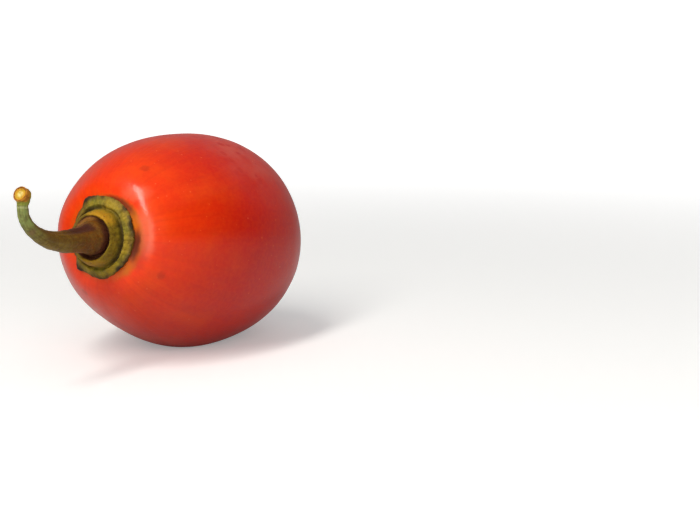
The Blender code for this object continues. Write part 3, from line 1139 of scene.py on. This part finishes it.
def bark_shade_and_bruise(tree, color, place, way, behind, from_axis, outward):
    along, _, _ = split(way)
    fold_aim = (0.0, math.cos(FOLD_SIDE), math.sin(FOLD_SIDE))
    fold = rise(point_count(tree, "DOT_PRODUCT", way, fold_aim, output="Value"), 0.84, 0.98)
    fold_span = both(rise(along, 1.8, 3.4), rise(along, 13.5, 8.5))
    # painted shade in the recess, on its side away from the light
    recess_shade = both(rise(from_axis, 2.3, 2.9), rise(behind, -37.6, -36.4))
    recess_shade = both(recess_shade, facing(outward, -22.0, 0.0, 0.75))
    return coats(
        color,
        # painted shade in the fold, the recess and the foot's end
        (FOLD_SHADE_PURPLE, both(fold, fold_span), 0.85),
        (SEAT_AND_SHADE_PURPLE, recess_shade, 0.9),
        (SEAT_AND_SHADE_PURPLE, rise(along, 1.6, 0.5), 0.6),
        (BRUISE_BROWN, spot_at(place, (-57.2, -0.9, 0.0), (0.9, 1.2, 0.8), 0.5), 0.7))


# %% [markdown]
# Below the knob the bark is a fresh green with a pale crease. The knob's wall is
# orange-brown cork and its broken face is cream, with a ring where the sap ran
# and a dark lip. The cream middle of the face is partly a painted highlight.
# Height above the face and distance from its middle were stored with the shape,
# so the colours keep to the knob.

# %% The knob's colours
KNOB_GREEN = paint(146, 150, 52)
CREASE_PALE = paint(190, 190, 136)
CORK_ORANGE = paint(196, 128, 32)
CORK_RED = paint(116, 50, 18)
SCAR_YELLOW = paint(206, 152, 36)
# cream of the scar's middle, partly a painted highlight
SCAR_CREAM_AND_HIGHLIGHT = paint(240, 214, 130)
SCAR_OLIVE = paint(190, 168, 34)


def knob_colors(color, place, way, end, level, wear):
    along, _, _ = split(way)
    height, across, on_knob = split(end)
    upright = rise(along, 22.0, 24.0)
    crease = both(rise(level, 4.35, 4.6), rise(level, 5.0, 4.75))
    rusty = cloudy(place, size=0.9, low=0.45, high=0.6)
    cork = coats(CORK_ORANGE, (CORK_RED, rusty, 0.5))
    face = coats(
        SCAR_YELLOW,
        # partly painted highlight: cream in the middle of the face
        (SCAR_CREAM_AND_HIGHLIGHT, rise(across, 0.9, 0.35)),
        (SCAR_OLIVE, cloudy(place, size=0.45, low=0.5, high=0.62), 0.6),
        (CORK_ORANGE, cloudy(place, size=0.7, low=0.52, high=0.66), 0.5))
    on_face = both(rise(height, -0.42, -0.22), rise(across, 1.28, 1.12))
    lip = both(rise(across, 1.08, 1.2), rise(across, 1.5, 1.35))
    lip = both(lip, rise(height, -0.6, -0.4))
    return coats(
        color,
        (KNOB_GREEN, both(upright, rise(level, 4.9, 5.3)), 0.75),
        (CREASE_PALE, both(upright, crease), 0.4),
        (cork, both(on_knob, rise(level, 5.5, 6.0)), 0.95),
        (face, on_face),
        (CORK_RED, both(lip, weigh((wear, 0.6), (1.0, 0.5))), 0.85))


# %% Stalk finish

def make_bark():
    finish, tree, shader = new_finish("green_bark")
    place, behind, level, from_axis, outward = own_place(tree)
    way = stored(tree, "stalk_way")
    end = stored(tree, "scar_way")
    color, fine_streaks, streaks, blotches, wear = bark_ground(tree, place, way)
    color = bark_shade_and_bruise(tree, color, place, way, behind, from_axis, outward)
    color = knob_colors(color, place, way, end, level, wear)
    feed(shader.inputs["Base Color"], color)
    on_knob = split(end)[2]
    dull = weigh((wear, 0.12), (streaks, 0.08), (on_knob, 0.1), (1.0, 0.42))
    feed(shader.inputs["Roughness"], dull)
    shader.inputs["Specular IOR Level"].default_value = 0.25
    add_relief(shader, (fine_streaks, -0.04), (wear, 0.03), (blotches, -0.03))
    return finish


# %% [markdown]
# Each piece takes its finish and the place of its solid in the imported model.
# Nothing on a picked fruit moves, so all three ride on the one body.

# %% Dress the frame
for piece, node_name, slot, finish in (
        (fruit, "fruit", "skin", make_skin()),
        (calyx, "calyx", "calyx_skin", make_calyx_skin()),
        (stalk, "stalk", "stalk_bark", make_bark())):
    piece.data.materials.clear()
    piece.data.materials.append(finish)
    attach(piece, "root")
    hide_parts(node_name)
    print(piece.name, "stands for", node_name, "with", len(finish.node_tree.nodes), "nodes")

# %% [markdown]
# The stage is a sheet of pale paper that curves up into a wall all round. It is
# turned like the fruit and then tipped upright. Its finish paints light by the
# kind of ray: in the glossy skin the paper above the table on the camera's side
# is dark, a painted reflection of a dim room; to bounce light it is grey; and
# to the camera it glows white, more strongly away from the fruit.

# %% The paper's shape
STAGE_RADIUS = 1.1
COVE_RADIUS = 0.5
COVE_TOP = 0.9
COVE_STEPS = 16
COVE_SIDES = 96
FLAT_RADIUS = STAGE_RADIUS - COVE_RADIUS

cove = [(0.0, 0.0), (0.0, FLAT_RADIUS / 3.0), (0.0, FLAT_RADIUS * 2.0 / 3.0), (0.0, FLAT_RADIUS)]
for step in range(1, COVE_STEPS + 1):
    bend = math.pi / 2.0 * step / COVE_STEPS
    cove.append((COVE_RADIUS * (1.0 - math.cos(bend)), FLAT_RADIUS + COVE_RADIUS * math.sin(bend)))
cove.append((COVE_TOP, STAGE_RADIUS))
floor = lathe("pale_floor", cove, COVE_SIDES)
floor.data.transform(Matrix.Rotation(math.radians(-90.0), 4, "Y"))
floor.data.update()
smooth(floor)
print("floor is", round(max(floor.dimensions), 2), "m across")

# %% The paper's finish
PAPER_WHITE = paint(240, 240, 239)
PAPER_TOOTH = paint(234, 234, 233)
# grey paper for bounce light and a dim room for mirror rays: painted light
PAPER_BOUNCE = paint(186, 186, 186)
PAINTED_DIM_ROOM = paint(70, 70, 72)
PURE_WHITE = paint(255, 255, 255)
TOWARDS_BACK = (0.86, 0.51, 0.0)


def make_paper():
    finish, tree, shader = new_finish("pale_paper")
    place = add_node(tree, "ShaderNodeTexCoord").outputs["Object"]
    rays = add_node(tree, "ShaderNodeLightPath").outputs
    behind_fruit = point_count(tree, "DOT_PRODUCT", place, TOWARDS_BACK, output="Value")
    above_table = rise(split(place)[2], 0.0, 0.12)
    dim_reflection = both(above_table, rise(behind_fruit, 0.5, -0.1))
    tooth = cloudy(place, size=0.002, low=0.3, high=0.7)
    color = coats(
        PAPER_WHITE,
        (PAPER_TOOTH, tooth),
        # painted light: grey to bounce rays, dark in mirror rays on the camera's side
        (PAPER_BOUNCE, rays["Is Diffuse Ray"]),
        (PAINTED_DIM_ROOM, both(dim_reflection, rays["Is Glossy Ray"])))
    feed(shader.inputs["Base Color"], color)
    from_middle = point_count(tree, "LENGTH", place, output="Value")
    # painted light: the paper glows for the camera, more strongly away from the fruit
    lift = weigh((rise(from_middle, 0.05, 0.7), 0.6), (1.0, 0.27))
    feed(shader.inputs["Emission Color"], PURE_WHITE)
    feed(shader.inputs["Emission Strength"], both(lift, rays["Is Camera Ray"]))
    shader.inputs["Roughness"].default_value = 0.95
    shader.inputs["Specular IOR Level"].default_value = 0.1
    return finish


floor.data.materials.append(make_paper())
floor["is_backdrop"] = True
print("paper:", floor.data.materials[0].name)

# %% [markdown]
# The light is soft and comes from the stem side, high on the left: one tall
# window that draws the bright crescent on the shoulder, and a small low one that
# carries it on round the calyx. Two large lamps and a pale sky fill the shadows
# and the paper. They are hidden from mirror rays, so that the skin shows the
# windows alone.

# %% Lights
AIM = (-0.006, 0.0, 0.026)
WINDOW_LIGHT = (1.0, 0.97, 0.92)
FRONT_LIGHT = (1.0, 0.99, 0.97)
SKY_LIGHT = (0.95, 0.97, 1.0, 1.0)
SKY_STRENGTH = 0.2


def soft_light(name, place, size, watts, color, mirrored=True):
    bpy.ops.object.select_all(action="DESELECT")
    bpy.ops.object.light_add(type="AREA", location=place)
    lamp = bpy.context.object
    lamp.name = name
    lamp.data.shape = "RECTANGLE"
    lamp.data.size = size[0]
    lamp.data.size_y = size[1]
    lamp.data.energy = watts
    lamp.data.color = color
    lamp.visible_glossy = mirrored
    lamp.rotation_mode = "QUATERNION"
    lamp.rotation_quaternion = (Vector(AIM) - Vector(place)).to_track_quat("-Z", "Y")
    print(name, watts, "W at", place)


soft_light("tall_window", (-0.43, 0.015, 0.49), (0.11, 0.54), 3.1, WINDOW_LIGHT)
soft_light("low_window", (-0.65, -0.15, 0.15), (0.24, 0.3), 0.5, WINDOW_LIGHT)
soft_light("front_fill", (-0.50, -0.42, 0.20), (0.5, 0.5), 1.6, FRONT_LIGHT, mirrored=False)
soft_light("overhead_fill", (0.1, -0.1, 0.85), (1.0, 1.0), 1.0, (1.0, 1.0, 1.0), mirrored=False)

world = bpy.data.worlds.new("pale_sky")
world.use_nodes = True
sky = world.node_tree.nodes["Background"]
sky.inputs["Color"].default_value = SKY_LIGHT
sky.inputs["Strength"].default_value = SKY_STRENGTH
bpy.context.scene.world = world

# %% [markdown]
# The camera stands low in front of the stem end, as the photograph's did. Its
# focal length is given in the photograph's pixels, 1250 for a frame that is 700
# wide, and becomes millimetres on a 36 mm sensor.

# %% Camera
FOCAL_PIXELS = 1250.0
FRAME_WIDTH = 700.0
SENSOR_WIDTH = 36.0
CAMERA_FROM_MIDDLE = Vector((-254.49, -150.37, 38.55)) * MM
LOOK = Vector((0.9123, 0.3821, -0.1474))

bpy.ops.object.select_all(action="DESELECT")
bpy.ops.object.camera_add(location=MIDDLE + CAMERA_FROM_MIDDLE)
camera = bpy.context.object
camera.rotation_mode = "QUATERNION"
camera.rotation_quaternion = LOOK.to_track_quat("-Z", "Y")
camera.data.sensor_width = SENSOR_WIDTH
camera.data.lens = SENSOR_WIDTH * FOCAL_PIXELS / FRAME_WIDTH
camera.data.clip_start = 0.01
bpy.context.scene.camera = camera
bpy.context.scene.view_settings.view_transform = "Standard"
print("lens:", round(camera.data.lens, 1), "mm")

# %% [markdown]
# The last step prints the box of what is shown and the box of the imported
# model, side by side.

# %% Print both boxes
shown_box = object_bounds()
for name, corners in (("frame", frame_box), ("shown", shown_box)):
    print(name, "box in mm:", [[round(v * 1000, 1) for v in corner] for corner in corners])
